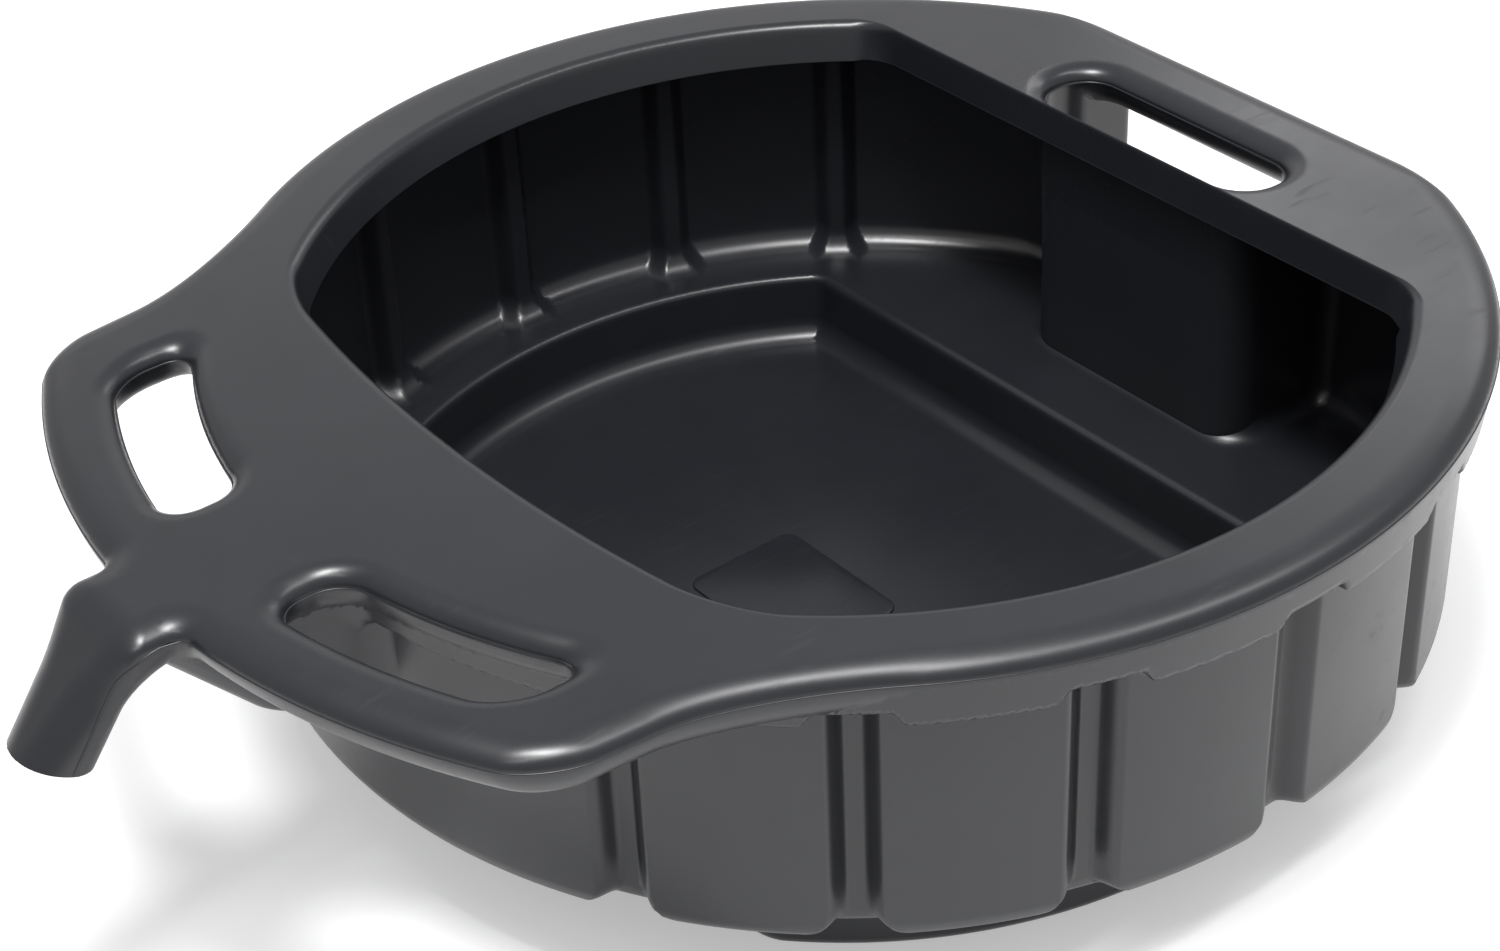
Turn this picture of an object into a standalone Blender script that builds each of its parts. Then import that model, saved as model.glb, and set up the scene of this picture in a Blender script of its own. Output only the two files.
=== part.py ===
"""Blow-moulded oil drain pan: a round bowl with a sump, a rolled anti-splash rim,
two front loop handles, a rear slot handle and a down-turned pouring spout.

Frame: metres, +Z up, origin on the ground under the centre of the round bowl.
+X points to the rear handle, -X to the spout, +Y to the pan's left side.
"""
import math

import bmesh
import bpy

# Overall sizes.
RIM_RADIUS = 0.240          # outside of the rim, the widest part of the pan
HEIGHT = 0.1546             # top of the rim and decks above the ground
WALL = 0.003                # moulded wall thickness
GAP = 0.0003                # clearance between neighbouring regions

# Levels.
LEDGE_HEIGHT = 0.031        # underside of the ledge around the sump
SHELF_BELOW_TOP = 0.0216    # underside of the shelf that carries the skirt
PARTING_BELOW_TOP = 0.0063  # mould parting line around rim, handles and spout
LIP_DROP = 0.0165           # anti-splash lip, below the top

# Bowl.
PANEL_INSET = 0.0084        # wall panels, inside the rim's outer radius
GROOVE_DEPTH = 0.0080       # grooves between the panels
GROOVE_MOUTH = 0.0205       # width of a groove at the panel faces
GROOVE_FLOOR = 0.0060       # width of a groove at its bottom
GROOVE_FIRST_DEG = 51.0     # first groove, from +X
GROOVE_PITCH_DEG = 19.7
PANELS_PER_SIDE = 5
LEDGE_WIDTH = 0.0312        # ledge between the bowl wall and the sump
REAR_LEDGE_WIDTH = 0.0400   # ledge between the finger recess and the sump
SUMP_FRONT_CUT = 0.0484     # flat front of the sump, inside its radius
SUMP_EDGE_CHAMFER = 0.0030

# Rim section: (inwards, down) from its outer top corner.
SHOULDER_LOW = (0.0015, 0.0033)
SHOULDER_HIGH = (0.0050, 0.0013)
RIM_TOP_INSET = 0.0135      # start of the flat top
RIM_BAND = 0.0260           # end of the flat top
LIP_ROLL = (0.0310, 0.0030)
LIP_ROLL_INSIDE = (0.0280, 0.0050)
LIP_REACH = 0.0390          # trimmed edge of the lip

# Rear deck and handle.
REAR_EDGE_CUT = 0.0210      # straight rear edge, inside the rim's outer radius
REAR_GRIP_WIDTH = 0.0330
REAR_SLOT_WIDTH = 0.0340
REAR_SLOT_HALF_LENGTH = 0.0600
REAR_STRIP_WIDTH = 0.0086   # deck between the slot and the opening
RECESS_LEAN = 0.0080        # how far the recess wall leans back down to the ledge

# Front deck and handles: arcs about a centre just in front of the bowl's axis.
FRONT_DECK_WIDTH = 0.0643   # rim's outer radius to the middle of the opening's front edge
OPENING_FRONT_RADIUS = 0.679
HANDLE_CENTRE_X = -0.0070
HANDLE_REACH = 0.0500       # outside of the grip, beyond the rim's outer radius
GRIP_WIDTH = 0.0250
SLOT_BITE = 0.0075          # inner edge of the hand slot, inside the rim's outer radius
HANDLE_SIDE_INSET = 0.0790  # outside of the short side, from the rim's side
HANDLE_SIDE_WIDTH = 0.0270
HANDLE_ROOT_CLEARANCE = 0.0005  # between the handle's root and the front skirt
HANDLE_CORNER_RADIUS = 0.0150
HANDLE_CLEARANCE = 0.0010   # between the front deck's slot edge and the handle's side
HANDLE_DEPTH = 0.0130       # lower half of a handle, below the parting line
SLOT_CORNER_RADIUS = 0.0120

# Channel and spout, measured on the mould parting surface that runs down its middle.
CHANNEL_HALF_WIDTH = 0.0300  # where the channel leaves the bowl
CHANNEL_DEPTH = 0.0580       # channel floor at the bowl, below the parting plane
CHANNEL_FLAT_LENGTH = 0.0480
CHANNEL_RISE_LENGTH = 0.0220
CHANNEL_NARROW = (0.70, 0.90)  # shares of its flat length and depth where it has narrowed
CHANNEL_END_DEPTH = 0.75       # share of its depth where it starts to climb
CHANNEL_CLIMB_DEPTH = 0.70     # share of the mean depth, half way up
NECK_HALF_WIDTH = 0.0240
NECK_DEPTH = 0.0140
NECK_LENGTH = 0.0195         # neck beyond the grips, up to the bend
BEND_DEPTH = 0.90            # share of the neck's depth at the bend
SPOUT_LEAN = 0.0180          # how far the tip lies in front of the bend
SPOUT_DROP = 0.0345          # how far the tip lies below the bend
SPOUT_TIP_HALF_WIDTH = 0.0180
SPOUT_TIP_OUTER = 0.0160     # outer half of the tip, from the parting line
SPOUT_TIP_INNER = 0.0110
SPOUT_TIP_TILT_DEG = 69.0    # how far the tip's outer side has turned from upright
SPOUT_BEND_TILT_DEG = 36.0

# Fineness of the curves.
ARC_STEP_DEG = 5.0
EDGE_STEP_DEG = 3.0
SMOOTH_TURN_DEG = 10.0      # turns below this belong to a smooth arc
SMOOTH_BELOW_DEG = 35.0     # shading
HANDLE_CORNER_STEPS = 4
HANDLE_ARC_STEPS = 9
REAR_HANDLE_STEPS = 6
DOME_STEPS = 10
DOME_FULLNESS = 0.62        # below 1 squares the half tube's shoulders

# Derived levels, radii and chords.
SIDES = {"left": 1.0, "right": -1.0}
LEDGE_TOP = LEDGE_HEIGHT + WALL
SHELF_Z = HEIGHT - SHELF_BELOW_TOP
PARTING_Z = HEIGHT - PARTING_BELOW_TOP
DECK_Z = HEIGHT - WALL
PANEL_RADIUS = RIM_RADIUS - PANEL_INSET
REAR_EDGE_X = RIM_RADIUS - REAR_EDGE_CUT
REAR_WALL_X = REAR_EDGE_X - PANEL_INSET
REAR_SLOT_OUTER_X = REAR_EDGE_X - REAR_GRIP_WIDTH
REAR_SLOT_INNER_X = REAR_SLOT_OUTER_X - REAR_SLOT_WIDTH
RECESS_FLOOR_X = REAR_SLOT_INNER_X + RECESS_LEAN
OPENING_REAR_X = REAR_SLOT_INNER_X - REAR_STRIP_WIDTH
OPENING_FRONT_X = FRONT_DECK_WIDTH - RIM_RADIUS
SUMP_RADIUS = PANEL_RADIUS - LEDGE_WIDTH
SUMP_REAR_X = RECESS_FLOOR_X - REAR_LEDGE_WIDTH
SUMP_FRONT_X = SUMP_FRONT_CUT - SUMP_RADIUS
HANDLE_OUTER_RADIUS = RIM_RADIUS + HANDLE_REACH
SLOT_OUTER_RADIUS = HANDLE_OUTER_RADIUS - GRIP_WIDTH
SLOT_INNER_RADIUS = RIM_RADIUS - SLOT_BITE
HANDLE_SIDE_Y = RIM_RADIUS - HANDLE_SIDE_INSET
HANDLE_INNER_Y = HANDLE_SIDE_Y - HANDLE_SIDE_WIDTH
FRONT_SKIRT_RADIUS = RIM_RADIUS - WALL
HANDLE_ROOT_X = -math.sqrt(FRONT_SKIRT_RADIUS ** 2 - HANDLE_INNER_Y ** 2) - HANDLE_ROOT_CLEARANCE
NECK_START_X = HANDLE_CENTRE_X - SLOT_INNER_RADIUS
SPOUT_BEND_X = HANDLE_CENTRE_X - HANDLE_OUTER_RADIUS - NECK_LENGTH
FRONT_JOINT_DEG = 180 - math.degrees(math.asin(HANDLE_SIDE_Y / RIM_RADIUS))
REAR_JOINT_DEG = math.degrees(math.acos(OPENING_REAR_X / (RIM_RADIUS - RIM_BAND)))


def clear_scene() -> None:
    """Remove every object of the open scene."""
    for item in list(bpy.data.objects):
        bpy.data.objects.remove(item, do_unlink=True)


def plastic(name: str, colour: tuple, roughness: float) -> bpy.types.Material:
    """Make one moulded plastic material."""
    material = bpy.data.materials.new(name)
    material.use_nodes = True
    shader = material.node_tree.nodes["Principled BSDF"]
    shader.inputs["Base Color"].default_value = (*colour, 1.0)
    shader.inputs["Roughness"].default_value = roughness
    shader.inputs["Metallic"].default_value = 0.0
    return material


def polar(radius: float, degrees: float, centre_x: float = 0.0) -> tuple:
    """Give the plan point at a radius and an angle about a centre on the X axis."""
    angle = math.radians(degrees)
    return (centre_x + radius * math.cos(angle), radius * math.sin(angle))


def arc(
    radius: float, start: float, end: float, centre_x: float = 0.0, step: float = ARC_STEP_DEG
) -> list:
    """Give plan points along an arc, both ends included."""
    count = max(2, math.ceil(abs(end - start) / step) + 1)
    return [polar(radius, start + (end - start) * k / (count - 1), centre_x) for k in range(count)]


def gap_degrees(radius: float) -> float:
    """Give the angle of half a clearance at a radius."""
    return math.degrees(GAP / 2 / radius)


def mirrored(points: list, side: float) -> list:
    """Give plan points on the wanted side of the pan."""
    return [(x, y * side) for x, y in points]


def at_level(points: list, z: float) -> list:
    """Lift plan points to a level."""
    return [(x, y, z) for x, y in points]


def solid(name: str, material: bpy.types.Material, rings: list) -> bpy.types.Object:
    """Close a row of matching rings of points into one solid object."""
    mesh = bpy.data.meshes.new(name)
    shape = bmesh.new()
    rows = [[shape.verts.new(point) for point in ring] for ring in rings]
    count = len(rows[0])
    for low, high in zip(rows, rows[1:]):
        for k in range(count):
            shape.faces.new((low[k], low[(k + 1) % count], high[(k + 1) % count], high[k]))
    shape.faces.new(rows[0])
    shape.faces.new(rows[-1])
    bmesh.ops.recalc_face_normals(shape, faces=shape.faces[:])
    if shape.calc_volume(signed=True) < 0:
        bmesh.ops.reverse_faces(shape, faces=shape.faces[:])
    shape.to_mesh(mesh)
    shape.free()
    mesh.shade_smooth()
    mesh.set_sharp_from_angle(angle=math.radians(SMOOTH_BELOW_DEG))
    mesh.materials.append(material)
    item = bpy.data.objects.new(name, mesh)
    bpy.context.scene.collection.objects.link(item)
    return item


def plate(
    name: str, material: bpy.types.Material, outline: list, low: float, high: float
) -> bpy.types.Object:
    """Raise a plan outline between two levels."""
    return solid(name, material, [at_level(outline, low), at_level(outline, high)])


def offsets(path: list) -> list:
    """Give the mitred unit offset to the right of each point of a plan path.

    An end that belongs to a smooth arc keeps the arc's own normal there.
    """
    headings = [math.atan2(by - ay, bx - ax) for (ax, ay), (bx, by) in zip(path, path[1:])]
    turns = [math.remainder(b - a, math.tau) for a, b in zip(headings, headings[1:])]
    smooth = [turn if abs(turn) < math.radians(SMOOTH_TURN_DEG) else 0.0 for turn in turns] or [0.0]
    result = []
    for k in range(len(path)):
        if k == 0:
            heading, mitre = headings[0] - smooth[0] / 2, 1.0
        elif k == len(path) - 1:
            heading, mitre = headings[-1] + smooth[-1] / 2, 1.0
        else:
            heading, mitre = headings[k - 1] + turns[k - 1] / 2, 1 / math.cos(turns[k - 1] / 2)
        result.append((math.sin(heading) * mitre, -math.cos(heading) * mitre))
    return result


def sweep(name: str, material: bpy.types.Material, path: list, profile: list) -> bpy.types.Object:
    """Sweep an (offset to the right, level) profile along a plan path."""
    rings = []
    for (x, y), (nx, ny) in zip(path, offsets(path)):
        rings.append([(x + nx * d, y + ny * d, z) for d, z in profile])
    return solid(name, material, rings)


def half_tube(name: str, material: bpy.types.Material, stations: list) -> bpy.types.Object:
    """Loft a hollow half tube through stations of (rail, rail, up, height)."""
    rings = []
    for first, second, up, height in stations:
        across = [b - a for a, b in zip(first, second)]
        width = math.sqrt(sum(c * c for c in across))
        unit = [c / width for c in across]
        ring = []
        for d, h in dome(width, height):
            ring.append(tuple(a + u * d + n * h for a, u, n in zip(first, unit, up)))
        rings.append(ring)
    return solid(name, material, rings)


def dome(width: float, height: float) -> list:
    """Give the closed cross-section of a flattened half tube with moulded walls."""
    section = []
    for half, rise, order in ((width / 2, height, 1), (width / 2 - WALL, height - WALL, -1)):
        for k in range(DOME_STEPS + 1)[::order]:
            angle = math.pi * k / DOME_STEPS
            c = math.cos(angle)
            s = math.sin(angle)
            section.append((
                width / 2 - half * math.copysign(abs(c) ** DOME_FULLNESS, c),
                rise * max(s, 0.0) ** DOME_FULLNESS,
            ))
    return section


def sump_outline(inset: float) -> list:
    """Give the truncated circle of the sump, moved inwards by an inset."""
    radius = SUMP_RADIUS - inset
    rear = math.degrees(math.acos((SUMP_REAR_X - inset) / radius))
    front = math.degrees(math.acos((SUMP_FRONT_X + inset) / radius))
    return arc(radius, rear, front) + arc(radius, -front, -rear)


def build_sump(material: bpy.types.Material) -> None:
    """Build the flat floor and the four walls of the sump."""
    floor_top = SUMP_EDGE_CHAMFER + WALL
    rings = [at_level(sump_outline(SUMP_EDGE_CHAMFER), 0.0)]
    rings.append(at_level(sump_outline(0.0), SUMP_EDGE_CHAMFER))
    rings.append(at_level(sump_outline(0.0), floor_top))
    solid("sump_floor", material, rings)
    low = floor_top + GAP
    high = LEDGE_HEIGHT - GAP
    inner = SUMP_RADIUS - WALL
    rear = math.degrees(math.acos(SUMP_REAR_X / inner))
    front = math.degrees(math.acos(SUMP_FRONT_X / inner))
    trim = gap_degrees(inner)
    wall = [(0.0, low), (WALL, low), (WALL, high), (0.0, high)]
    for word, side in SIDES.items():
        path = arc(inner, rear + trim, front - trim)
        if side < 0:
            path = mirrored(path, side)[::-1]
        sweep(f"sump_wall_{word}", material, path, wall)
    for word, x, degrees, sign in (("rear", SUMP_REAR_X, rear, 1.0), ("front", SUMP_FRONT_X, front, -1.0)):
        half = inner * math.sin(math.radians(degrees)) - WALL - GAP
        outline = [(x, -half), (x - sign * WALL, -half), (x - sign * WALL, half), (x, half)]
        plate(f"sump_wall_{word}", material, outline, low, high)


def build_ledge(material: bpy.types.Material) -> None:
    """Build the ledge between the sump walls and the bowl walls."""
    inner = SUMP_RADIUS - WALL
    rear = math.degrees(math.acos(SUMP_REAR_X / inner))
    front = math.degrees(math.acos(SUMP_FRONT_X / inner))
    trim = gap_degrees(inner)
    for word, side in SIDES.items():
        outline = arc(inner, rear + trim, front - trim) + arc(PANEL_RADIUS, front - trim, rear + trim)
        plate(f"ledge_{word}", material, mirrored(outline, side), LEDGE_HEIGHT, LEDGE_TOP)
    outline = [polar(inner, front + trim)] + arc(PANEL_RADIUS, front + trim, 360 - front - trim)
    outline += [polar(inner, 360 - front - trim)]
    plate("ledge_front", material, outline, LEDGE_HEIGHT, LEDGE_TOP)
    corner = math.degrees(math.acos(REAR_WALL_X / PANEL_RADIUS))
    notch_y = REAR_SLOT_HALF_LENGTH + GAP
    half = [polar(inner, rear - trim)] + arc(PANEL_RADIUS, rear - trim, corner)
    half += [(REAR_WALL_X, notch_y), (RECESS_FLOOR_X + WALL, notch_y)]
    plate("ledge_rear", material, half + mirrored(half, -1.0)[::-1], LEDGE_HEIGHT, LEDGE_TOP)


def wall_profile(high: float) -> list:
    """Give the section of a bowl wall that stands on the ledge."""
    low = LEDGE_TOP + GAP
    return [(0.0, low), (-WALL, low), (-WALL, high), (0.0, high)]


def groove_side(degrees: float, direction: float) -> list:
    """Give the plan points from a groove's middle up to the panel face."""
    floor = math.degrees(GROOVE_FLOOR / 2 / PANEL_RADIUS)
    mouth = math.degrees(GROOVE_MOUTH / 2 / PANEL_RADIUS)
    bottom = PANEL_RADIUS - GROOVE_DEPTH
    middle = gap_degrees(bottom)
    return [
        polar(bottom, degrees + direction * middle),
        polar(bottom, degrees + direction * floor),
        polar(PANEL_RADIUS, degrees + direction * mouth),
    ]


def wall_path(start: float, end: float, grooved_start: bool, grooved_end: bool) -> list:
    """Give the outside of a wall between two angles, with half a groove at either end."""
    mouth = math.degrees(GROOVE_MOUTH / 2 / PANEL_RADIUS)
    trim = gap_degrees(PANEL_RADIUS)
    first = groove_side(start, 1.0)[:-1] if grooved_start else []
    last = groove_side(end, -1.0)[:-1][::-1] if grooved_end else []
    face_start = start + (mouth if grooved_start else trim)
    face_end = end - (mouth if grooved_end else trim)
    middle = arc(PANEL_RADIUS, face_start, face_end)
    return first + middle + last


def add_wall(name: str, material: bpy.types.Material, path: list, side: float, high: float) -> None:
    """Stand one wall on the ledge, its outside along the path."""
    if side < 0:
        path = mirrored(path, side)[::-1]
    sweep(name, material, path, wall_profile(high))


def build_bowl_walls(material: bpy.types.Material) -> None:
    """Build the panelled side walls, the plain front wall and the rear walls."""
    high = SHELF_Z - GAP
    last = GROOVE_FIRST_DEG + PANELS_PER_SIDE * GROOVE_PITCH_DEG
    mouth_deg = 180 - math.degrees(math.asin((CHANNEL_HALF_WIDTH - WALL) / PANEL_RADIUS))
    for word, side in SIDES.items():
        for k in range(PANELS_PER_SIDE):
            start = GROOVE_FIRST_DEG + k * GROOVE_PITCH_DEG
            path = wall_path(start, start + GROOVE_PITCH_DEG, True, True)
            add_wall(f"wall_panel_{word}_{k + 1}", material, path, side, high)
        add_wall(f"front_wall_{word}", material, wall_path(last, mouth_deg, True, False), side, high)
        corner = math.degrees(math.acos(REAR_WALL_X / PANEL_RADIUS))
        path = [(REAR_WALL_X, REAR_SLOT_HALF_LENGTH + WALL + 2 * GAP)]
        path += wall_path(corner - gap_degrees(PANEL_RADIUS), GROOVE_FIRST_DEG, False, True)
        add_wall(f"rear_wall_{word}", material, path, side, high)
    path = wall_path(mouth_deg, 360 - mouth_deg, False, False)
    add_wall("front_wall_middle", material, path, 1.0, PARTING_Z - CHANNEL_DEPTH - GAP)


def build_recess(material: bpy.types.Material) -> None:
    """Build the wall of the finger recess, which bulges into the bowl under the rear handle."""
    half = REAR_SLOT_HALF_LENGTH + GAP
    rings = []
    for z, x in ((LEDGE_TOP + GAP, RECESS_FLOOR_X), (DECK_Z - GAP, REAR_SLOT_INNER_X - WALL)):
        outer = half + WALL
        ring = [(REAR_WALL_X, half), (x + WALL, half), (x + WALL, -half), (REAR_WALL_X, -half)]
        ring += [(REAR_WALL_X, -outer), (x, -outer), (x, outer), (REAR_WALL_X, outer)]
        rings.append(at_level(ring, z))
    solid("finger_recess", material, rings)


def skirt_profile(high: float) -> list:
    """Give the L-shaped section of the shelf and skirt, outside on the path."""
    low = SHELF_Z
    reach = PANEL_INSET + WALL
    shelf = low + WALL
    return [(0.0, low), (-reach, low), (-reach, shelf), (-WALL, shelf), (-WALL, high), (0.0, high)]


def build_skirt(material: bpy.types.Material) -> None:
    """Build the skirt that hangs below the parting line all round the bowl."""
    front_start = 180 - math.degrees(math.asin((CHANNEL_HALF_WIDTH + GAP) / FRONT_SKIRT_RADIUS))
    corner = math.degrees(math.acos(REAR_EDGE_X / RIM_RADIUS))
    trim = gap_degrees(RIM_RADIUS)
    for word, side in SIDES.items():
        side_path = arc(RIM_RADIUS, REAR_JOINT_DEG + trim, FRONT_JOINT_DEG - trim)
        rear_path = [(REAR_EDGE_X, REAR_SLOT_HALF_LENGTH + WALL + 2 * GAP)]
        rear_path += arc(RIM_RADIUS, corner, REAR_JOINT_DEG - trim)
        front_path = arc(FRONT_SKIRT_RADIUS, FRONT_JOINT_DEG + trim, front_start - trim)
        for label, path, high in (
            (f"skirt_{word}", side_path, PARTING_Z - GAP / 2),
            (f"skirt_rear_{word}", rear_path, DECK_Z - GAP),
            (f"skirt_front_{word}", front_path, DECK_Z - GAP),
        ):
            if side < 0:
                path = mirrored(path, side)[::-1]
            sweep(label, material, path, skirt_profile(high))


def rim_profile() -> list:
    """Give the section of the rim: rounded outside, flat top and in-turned lip."""
    low = PARTING_Z + GAP / 2
    outside = [
        (0.0, low),
        (-SHOULDER_LOW[0], HEIGHT - SHOULDER_LOW[1]),
        (-SHOULDER_HIGH[0], HEIGHT - SHOULDER_HIGH[1]),
        (-RIM_TOP_INSET, HEIGHT),
        (-RIM_BAND, HEIGHT),
        (-LIP_ROLL[0], HEIGHT - LIP_ROLL[1]),
        (-LIP_REACH, HEIGHT - LIP_DROP),
    ]
    inside = [
        (-LIP_REACH + WALL, HEIGHT - LIP_DROP),
        (-LIP_ROLL_INSIDE[0], HEIGHT - LIP_ROLL_INSIDE[1]),
        (-RIM_BAND, DECK_Z),
        (-RIM_TOP_INSET, DECK_Z),
        (-SHOULDER_HIGH[0], DECK_Z - SHOULDER_HIGH[1]),
        (-WALL, low),
    ]
    return outside + inside


def build_rim(material: bpy.types.Material) -> None:
    """Build the rim over both sides of the bowl."""
    trim = gap_degrees(RIM_RADIUS - LIP_REACH)
    for word, side in SIDES.items():
        path = arc(RIM_RADIUS, REAR_JOINT_DEG + trim, FRONT_JOINT_DEG - trim)
        if side < 0:
            path = mirrored(path, side)[::-1]
        sweep(f"rim_{word}", material, path, rim_profile())


def front_edge() -> list:
    """Give half of the curved front edge of the opening, from its middle to the rim."""
    centre = OPENING_FRONT_X + OPENING_FRONT_RADIUS
    corner_radius = RIM_RADIUS - RIM_BAND
    corner_x = (centre ** 2 + corner_radius ** 2 - OPENING_FRONT_RADIUS ** 2) / (2 * centre)
    corner_y = math.sqrt(corner_radius ** 2 - corner_x ** 2)
    spread = math.degrees(math.asin(corner_y / OPENING_FRONT_RADIUS))
    return arc(OPENING_FRONT_RADIUS, 180, 180 - spread, centre, EDGE_STEP_DEG)


def lip_profile() -> list:
    """Give the section of a lip hung below a deck edge, its face on the path."""
    high = DECK_Z - GAP
    low = HEIGHT - LIP_DROP
    return [(0.0, low), (0.0, high), (WALL, high), (WALL, low)]


def build_front_deck(material: bpy.types.Material) -> None:
    """Build the flat deck between the opening and the front handles, with its lip."""
    joint = FRONT_JOINT_DEG + gap_degrees(RIM_RADIUS)
    slot_end = 180 - math.degrees(math.asin((HANDLE_INNER_Y - HANDLE_CLEARANCE) / SLOT_INNER_RADIUS))
    neck = 180 - math.degrees(math.asin(NECK_HALF_WIDTH / SLOT_INNER_RADIUS))
    half = front_edge()[1:]
    half += [polar(RIM_RADIUS - RIM_BAND, joint), polar(RIM_RADIUS, joint)]
    half += [(HANDLE_ROOT_X, HANDLE_SIDE_Y), (HANDLE_ROOT_X, HANDLE_INNER_Y)]
    half += arc(SLOT_INNER_RADIUS, slot_end, neck, HANDLE_CENTRE_X)
    outline = [(OPENING_FRONT_X, 0.0)] + half + mirrored(half, -1.0)[::-1]
    plate("front_deck", material, outline, DECK_Z, HEIGHT)
    edge = front_edge()[:-1]
    sweep("front_lip", material, edge[:0:-1] + mirrored(edge, -1.0), lip_profile())


def handle_rail(arc_radius: float, side_y: float, corner_radius: float) -> list:
    """Give one plan rail of the left front handle, from its root to the spout neck."""
    centre_y = side_y - corner_radius
    reach = arc_radius - corner_radius
    centre_x = HANDLE_CENTRE_X - math.sqrt(reach ** 2 - centre_y ** 2)
    turn = math.degrees(math.atan2(centre_y, centre_x - HANDLE_CENTRE_X))
    end = 180 - math.degrees(math.asin((NECK_HALF_WIDTH + GAP) / arc_radius))
    rail = [(HANDLE_ROOT_X - GAP, side_y)]
    for k in range(HANDLE_CORNER_STEPS + 1):
        angle = math.radians(90 + (turn - 90) * k / HANDLE_CORNER_STEPS)
        across = corner_radius * math.cos(angle)
        along = corner_radius * math.sin(angle)
        rail.append((centre_x + across, centre_y + along))
    for k in range(1, HANDLE_ARC_STEPS + 1):
        rail.append(polar(arc_radius, turn + (end - turn) * k / HANDLE_ARC_STEPS, HANDLE_CENTRE_X))
    return rail


def add_grip(name: str, material: bpy.types.Material, outer: list, inner: list) -> None:
    """Build the upper and lower half tubes of a handle between two plan rails."""
    for word, up, height in (("top", 1.0, PARTING_BELOW_TOP), ("bottom", -1.0, HANDLE_DEPTH)):
        z = PARTING_Z + up * GAP / 2
        stations = []
        for first, second in zip(outer, inner):
            stations.append(((*first, z), (*second, z), (0.0, 0.0, up), height - GAP / 2))
        half_tube(f"{name}_{word}", material, stations)


def build_front_handles(material: bpy.types.Material) -> None:
    """Build the two loop handles that flank the spout."""
    outer = handle_rail(HANDLE_OUTER_RADIUS, HANDLE_SIDE_Y, HANDLE_CORNER_RADIUS)
    inner = handle_rail(SLOT_OUTER_RADIUS, HANDLE_INNER_Y, SLOT_CORNER_RADIUS)
    for word, side in SIDES.items():
        add_grip(f"front_handle_{word}", material, mirrored(outer, side), mirrored(inner, side))


def build_rear_deck(material: bpy.types.Material) -> None:
    """Build the rear deck around its slot, with its lip and the rear handle."""
    joint = REAR_JOINT_DEG - gap_degrees(RIM_RADIUS)
    corner = math.degrees(math.acos(REAR_EDGE_X / RIM_RADIUS))
    half_length = REAR_SLOT_HALF_LENGTH
    inner_corner = polar(RIM_RADIUS - RIM_BAND, joint)
    for word, side in SIDES.items():
        outline = [(OPENING_REAR_X, half_length + GAP), inner_corner]
        outline += arc(RIM_RADIUS, joint, corner) + [(REAR_EDGE_X, half_length + GAP)]
        plate(f"rear_deck_{word}", material, mirrored(outline, side), DECK_Z, HEIGHT)
    strip = [(OPENING_REAR_X, -half_length), (REAR_SLOT_INNER_X, -half_length)]
    strip += mirrored(strip, -1.0)[::-1]
    plate("rear_deck_middle", material, strip, DECK_Z, HEIGHT)
    lip_half = inner_corner[1] - LIP_REACH + RIM_BAND
    sweep("rear_lip", material, [(OPENING_REAR_X, -lip_half), (OPENING_REAR_X, lip_half)], lip_profile())
    levels = [half_length * (2 * k / REAR_HANDLE_STEPS - 1) for k in range(REAR_HANDLE_STEPS + 1)]
    outer = [(REAR_EDGE_X, y) for y in levels]
    inner = [(REAR_SLOT_OUTER_X, y) for y in levels]
    add_grip("rear_handle", material, outer, inner)


def spout_stations() -> list:
    """Give (x, z, tilt, half width, outer height, inner depth) along the channel and spout."""
    start = -(PANEL_RADIUS + GAP)
    bend_depth = NECK_DEPTH * BEND_DEPTH
    narrow_x = start - CHANNEL_FLAT_LENGTH * CHANNEL_NARROW[0]
    flat_end = start - CHANNEL_FLAT_LENGTH
    rise_end = flat_end - CHANNEL_RISE_LENGTH
    middle_width = (CHANNEL_HALF_WIDTH + NECK_HALF_WIDTH) / 2
    crown = PARTING_BELOW_TOP
    shallow = (CHANNEL_DEPTH + NECK_DEPTH) / 2
    tip_x = SPOUT_BEND_X - SPOUT_LEAN
    tip_z = PARTING_Z - SPOUT_DROP
    tip = (tip_x, tip_z, SPOUT_TIP_TILT_DEG, SPOUT_TIP_HALF_WIDTH, SPOUT_TIP_OUTER, SPOUT_TIP_INNER)
    leg = (
        SPOUT_BEND_X - SPOUT_LEAN / 3,
        PARTING_Z - SPOUT_DROP / 3,
        (2 * SPOUT_TIP_TILT_DEG + SPOUT_BEND_TILT_DEG) / 3,
        (2 * NECK_HALF_WIDTH + SPOUT_TIP_HALF_WIDTH) / 3,
        (crown + 2 * SPOUT_TIP_OUTER) / 3,
        (NECK_DEPTH + SPOUT_TIP_INNER) / 2,
    )
    return [
        (start, PARTING_Z, 0.0, CHANNEL_HALF_WIDTH, crown, CHANNEL_DEPTH),
        (NECK_START_X - GAP, PARTING_Z, 0.0, middle_width, crown, CHANNEL_DEPTH),
        (narrow_x, PARTING_Z, 0.0, NECK_HALF_WIDTH, crown, CHANNEL_DEPTH * CHANNEL_NARROW[1]),
        (flat_end, PARTING_Z, 0.0, NECK_HALF_WIDTH, crown, CHANNEL_DEPTH * CHANNEL_END_DEPTH),
        ((flat_end + rise_end) / 2, PARTING_Z, 0.0, NECK_HALF_WIDTH, crown, shallow * CHANNEL_CLIMB_DEPTH),
        (rise_end, PARTING_Z, 0.0, NECK_HALF_WIDTH, crown, NECK_DEPTH),
        (SPOUT_BEND_X + NECK_DEPTH / 2, PARTING_Z, 0.0, NECK_HALF_WIDTH, crown, NECK_DEPTH),
        (SPOUT_BEND_X, PARTING_Z, SPOUT_BEND_TILT_DEG, NECK_HALF_WIDTH, crown + GAP, bend_depth),
        leg,
        tip,
    ]


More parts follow.
